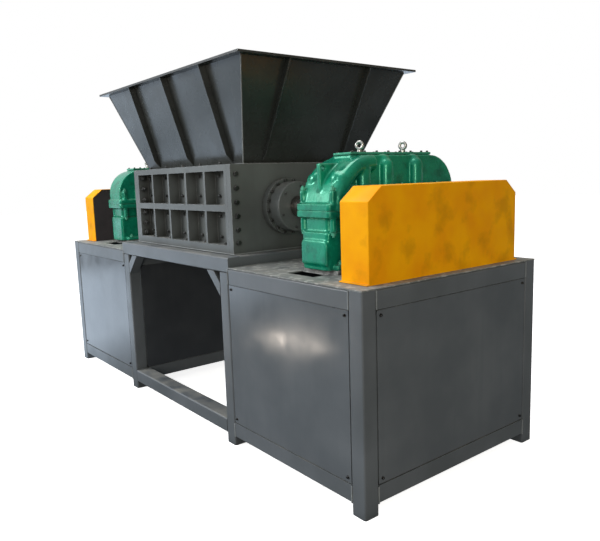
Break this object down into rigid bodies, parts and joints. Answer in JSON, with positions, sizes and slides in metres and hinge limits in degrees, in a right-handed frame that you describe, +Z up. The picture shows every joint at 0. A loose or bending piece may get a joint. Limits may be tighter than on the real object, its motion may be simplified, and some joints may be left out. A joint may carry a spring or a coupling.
{
  "type": "double shaft shredder",
  "caption": "Floor-standing double shaft shredder: sloping hopper over a ribbed chamber with interleaved hook knives, geared drives and belt guards on framed cabinets.",
  "frame": {"origin": "on the floor under the middle of the machine", "axes": "+X along the machine to the near drive end, -Y to the front, +Z up"},
  "size_m": [3.3, 1.224, 1.998],
  "materials": {
    "grey_paint": "semi-gloss sprayed paint on steel",
    "green_enamel": "glossy enamel on cast iron",
    "yellow_enamel": "satin enamel on folded sheet",
    "dark_primer": "dull dark primer on sheet",
    "tool_steel": "ground tool steel, worn edges",
    "machined_steel": "turned steel with a film of oil"
  },
  "bodies": {
    "root": {"base_cross_beams": "grey_paint", "base_long_beams": "grey_paint", "bottom_ties": "grey_paint", "corner_braces": "grey_paint", "front_chamber_wall": "grey_paint", "front_knife_shaft": "machined_steel", "front_knives": "tool_steel", "front_scraper_combs": "tool_steel", "hopper_front_wall": "grey_paint", "hopper_left_wall": "grey_paint", "hopper_rear_wall": "grey_paint", "hopper_ribs": "grey_paint", "hopper_right_wall": "grey_paint", "left_bearing_housings": "grey_paint", "left_belt_guard": "yellow_enamel", "left_cross_rails": "grey_paint", "left_end_panels": "grey_paint", "left_end_plate": "grey_paint", "left_guard_back": "dark_primer", "left_inspection_cover": "green_enamel", "left_long_rails": "grey_paint", "left_posts": "grey_paint", "left_reducer_base": "green_enamel", "left_reducer_cover": "green_enamel", "left_reducer_shafts": "machined_steel", "left_side_panels": "grey_paint", "left_top_plate": "grey_paint", "rear_chamber_wall": "grey_paint", "rear_knife_shaft": "machined_steel", "rear_knives": "tool_steel", "rear_scraper_combs": "tool_steel", "right_bearing_housings": "grey_paint", "right_belt_guard": "yellow_enamel", "right_cross_rails": "grey_paint", "right_end_panels": "grey_paint", "right_end_plate": "grey_paint", "right_guard_back": "dark_primer", "right_inspection_cover": "green_enamel", "right_long_rails": "grey_paint", "right_posts": "grey_paint", "right_reducer_base": "green_enamel", "right_reducer_cover": "green_enamel", "right_reducer_shafts": "machined_steel", "right_side_panels": "grey_paint", "right_top_plate": "grey_paint"}
  },
  "joints": []
}
